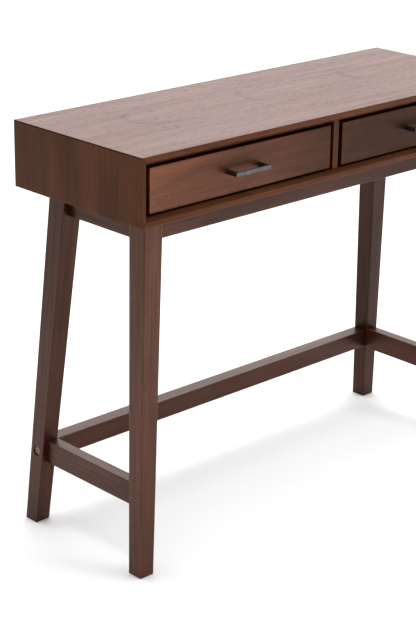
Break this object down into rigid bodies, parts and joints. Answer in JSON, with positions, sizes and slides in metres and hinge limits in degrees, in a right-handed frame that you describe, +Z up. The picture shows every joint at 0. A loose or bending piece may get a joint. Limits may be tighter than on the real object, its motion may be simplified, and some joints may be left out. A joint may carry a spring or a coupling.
{
  "type": "console table",
  "caption": "Narrow walnut console table on splayed tapered legs: a bevelled mitred case holds side-by-side drawers with squared bar pulls.",
  "frame": {"origin": "on the floor, below the middle of the whole object's box, which the two handles stretch 15 mm past the front of the case", "axes": "+X to the right of someone facing the drawers, -Y towards that person, +Z up"},
  "size_m": [0.99, 0.3652, 0.8],
  "materials": {
    "walnut_case": "satin dark walnut stain over fine straight and cathedral grain",
    "walnut_front": "satin walnut stain, a little redder and lighter than the case",
    "walnut_base": "satin dark walnut stain on solid wood",
    "drawer_wood": "clear matt lacquer on light wood",
    "black_metal": "satin gunmetal",
    "zinc_steel": "bright zinc plate"
  },
  "bodies": {
    "table": {"top_panel": "walnut_case", "bottom_panel": "walnut_case", "left_side_panel": "walnut_case", "right_side_panel": "walnut_case", "center_divider": "walnut_case", "back_panel": "walnut_case", "front_left_leg": "walnut_base", "front_right_leg": "walnut_base", "rear_left_leg": "walnut_base", "rear_right_leg": "walnut_base", "front_apron": "walnut_base", "rear_apron": "walnut_base", "left_apron": "walnut_base", "right_apron": "walnut_base", "left_stretcher": "walnut_base", "right_stretcher": "walnut_base", "rear_stretcher": "walnut_base", "front_left_corner_block": "walnut_base", "front_right_corner_block": "walnut_base", "rear_left_corner_block": "walnut_base", "rear_right_corner_block": "walnut_base", "front_left_block_screw": "zinc_steel", "front_right_block_screw": "zinc_steel", "rear_left_block_screw": "zinc_steel", "rear_right_block_screw": "zinc_steel", "left_stretcher_bolt": "zinc_steel", "right_stretcher_bolt": "zinc_steel", "left_barrel_nut": "zinc_steel", "right_barrel_nut": "zinc_steel", "left_bolt_cap": "walnut_base", "right_bolt_cap": "walnut_base", "left_bay_left_case_runner": "zinc_steel", "left_bay_right_case_runner": "zinc_steel", "right_bay_left_case_runner": "zinc_steel", "right_bay_right_case_runner": "zinc_steel"},
    "left_drawer": {"left_drawer_front": "walnut_front", "left_drawer_left_side": "drawer_wood", "left_drawer_right_side": "drawer_wood", "left_drawer_back": "drawer_wood", "left_drawer_bottom": "drawer_wood", "left_drawer_handle": "black_metal", "left_drawer_left_runner": "zinc_steel", "left_drawer_right_runner": "zinc_steel", "left_handle_left_screw": "zinc_steel", "left_handle_right_screw": "zinc_steel"},
    "right_drawer": {"right_drawer_front": "walnut_front", "right_drawer_left_side": "drawer_wood", "right_drawer_right_side": "drawer_wood", "right_drawer_back": "drawer_wood", "right_drawer_bottom": "drawer_wood", "right_drawer_handle": "black_metal", "right_drawer_left_runner": "zinc_steel", "right_drawer_right_runner": "zinc_steel", "right_handle_left_screw": "zinc_steel", "right_handle_right_screw": "zinc_steel"}
  },
  "joints": [
    {"name": "left_drawer_slide", "type": "slide", "parent": "table", "child": "left_drawer", "axis": [0, -1, 0], "range_m": [0, 0.22]},
    {"name": "right_drawer_slide", "type": "slide", "parent": "table", "child": "right_drawer", "axis": [0, -1, 0], "range_m": [0, 0.22]}
  ]
}
